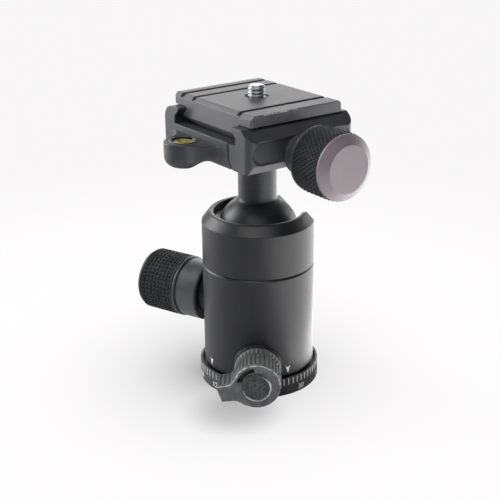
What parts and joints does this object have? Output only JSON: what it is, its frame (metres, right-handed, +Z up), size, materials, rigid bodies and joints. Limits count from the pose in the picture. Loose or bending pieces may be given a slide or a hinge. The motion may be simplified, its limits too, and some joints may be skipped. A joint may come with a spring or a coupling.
{
  "type": "tripod ball head",
  "caption": "Panning ball head with a drop-notched barrel, dial ring, lock knob, pan lever and a screw clamp holding a grooved quick plate.",
  "frame": {"origin": "centre of the underside, at the mouth of the tripod thread", "axes": "+Z up along the barrel, +X along the clamp channel, -Y towards the clamp knob"},
  "size_m": [0.0583, 0.1021, 0.1143],
  "materials": {
    "black_metal": "satin black anodised",
    "steel": "turned steel",
    "dark_steel": "blackened steel",
    "white_plastic": "low friction plastic",
    "bronze": "turned brass",
    "black_plastic": "black plastic",
    "ball_black": "smooth black anodised",
    "rubber": "moulded rubber",
    "lever_black": "satin black, worn edges",
    "clamp_grey": "fine blasted dark grey",
    "level_green": "tinted liquid",
    "level_clear": "clear window",
    "cap_grey": "satin grey anodised",
    "plate_grey": "satin grey anodised",
    "zinc": "zinc plated"
  },
  "bodies": {
    "base": {"base_plate": "black_metal", "degree_ring": "black_metal", "pan_spindle": "steel", "tripod_insert": "steel", "base_screws": "steel", "thrust_washer": "white_plastic", "spindle_washer": "steel", "spindle_screw": "dark_steel"},
    "housing": {"lower_housing": "black_metal", "upper_housing": "black_metal", "pan_bushing": "bronze", "lock_bushing": "bronze", "socket_ring": "bronze", "socket_liner": "black_plastic"},
    "piston": {"lift_piston": "steel", "seat_spring": "steel"},
    "seat": {"ball_seat": "black_plastic"},
    "ball": {"ball_stem": "ball_black"},
    "lock_knob": {"lock_screw": "steel", "lock_knob_core": "black_metal", "lock_knob_grip": "rubber", "lock_knob_cap": "black_metal"},
    "shoe": {"pan_shoe": "bronze"},
    "pan_knob": {"pan_screw": "steel", "pan_washer": "steel", "pan_lever": "lever_black", "pan_badge": "dark_steel"},
    "clamp": {"clamp_body": "clamp_grey", "clamp_bolt": "dark_steel", "guide_pins": "steel", "jaw_springs": "steel", "level_cup": "black_plastic", "level_liquid": "level_green", "level_lens": "level_clear"},
    "jaw": {"moving_jaw": "clamp_grey"},
    "clamp_knob": {"clamp_screw": "steel", "clamp_knob_core": "cap_grey", "clamp_knob_grip": "rubber", "clamp_knob_cap": "cap_grey"},
    "plate": {"quick_plate": "plate_grey"},
    "camera_screw": {"camera_screw": "zinc", "screw_clip": "steel"}
  },
  "joints": [
    {"name": "pan_rotation", "type": "hinge", "parent": "base", "child": "housing", "pos_m": [0, 0, 0], "axis": [0, 0, 1], "continuous": true},
    {"name": "piston_slide", "type": "slide", "parent": "housing", "child": "piston", "axis": [0, 0, -1], "range_m": [0, 0.0005]},
    {"name": "lock_knob_turn", "type": "hinge", "parent": "housing", "child": "lock_knob", "pos_m": [-0.0108, 0.02799, 0.0291], "axis": [-0.36, 0.933, 0], "range_deg": [0, 180]},
    {"name": "shoe_slide", "type": "slide", "parent": "housing", "child": "shoe", "axis": [-0.6046, -0.7965, 0], "range_m": [0, 0.0003]},
    {"name": "pan_knob_turn", "type": "hinge", "parent": "housing", "child": "pan_knob", "pos_m": [-0.01814, -0.0239, 0.0128], "axis": [-0.6046, -0.7965, 0], "range_deg": [0, 90]},
    {"name": "ball_swivel", "type": "hinge", "parent": "housing", "child": "seat", "pos_m": [0, 0, 0.0579], "axis": [0, 0, 1], "range_deg": [-360, 0]},
    {"name": "ball_tilt", "type": "hinge", "parent": "seat", "child": "ball", "pos_m": [0, 0, 0.0579], "axis": [0.3535, 0.9354, 0], "range_deg": [-35, 90]},
    {"name": "head_spin", "type": "hinge", "parent": "ball", "child": "clamp", "pos_m": [0, 0, 0.0579], "axis": [0, 0, 1], "continuous": true},
    {"name": "jaw_slide", "type": "slide", "parent": "clamp", "child": "jaw", "axis": [0, -1, 0], "range_m": [0, 0.003]},
    {"name": "clamp_knob_turn", "type": "hinge", "parent": "jaw", "child": "clamp_knob", "pos_m": [0, -0.035, 0.095], "axis": [0, -1, 0], "range_deg": [0, 1080]},
    {"name": "plate_slide", "type": "slide", "parent": "clamp", "child": "plate", "axis": [1, 0, 0], "range_m": [-0.02, 0.02]},
    {"name": "camera_screw_turn", "type": "hinge", "parent": "plate", "child": "camera_screw", "pos_m": [0, 0, 0.102], "axis": [0, 0, 1], "continuous": true}
  ],
  "couplings": [
    {"joint": "piston_slide", "follows": "lock_knob_turn", "m_per_rad": 0.00015915},
    {"joint": "shoe_slide", "follows": "pan_knob_turn", "m_per_rad": 0.00019099},
    {"joint": "jaw_slide", "follows": "clamp_knob_turn", "m_per_rad": 0.00015915}
  ]
}
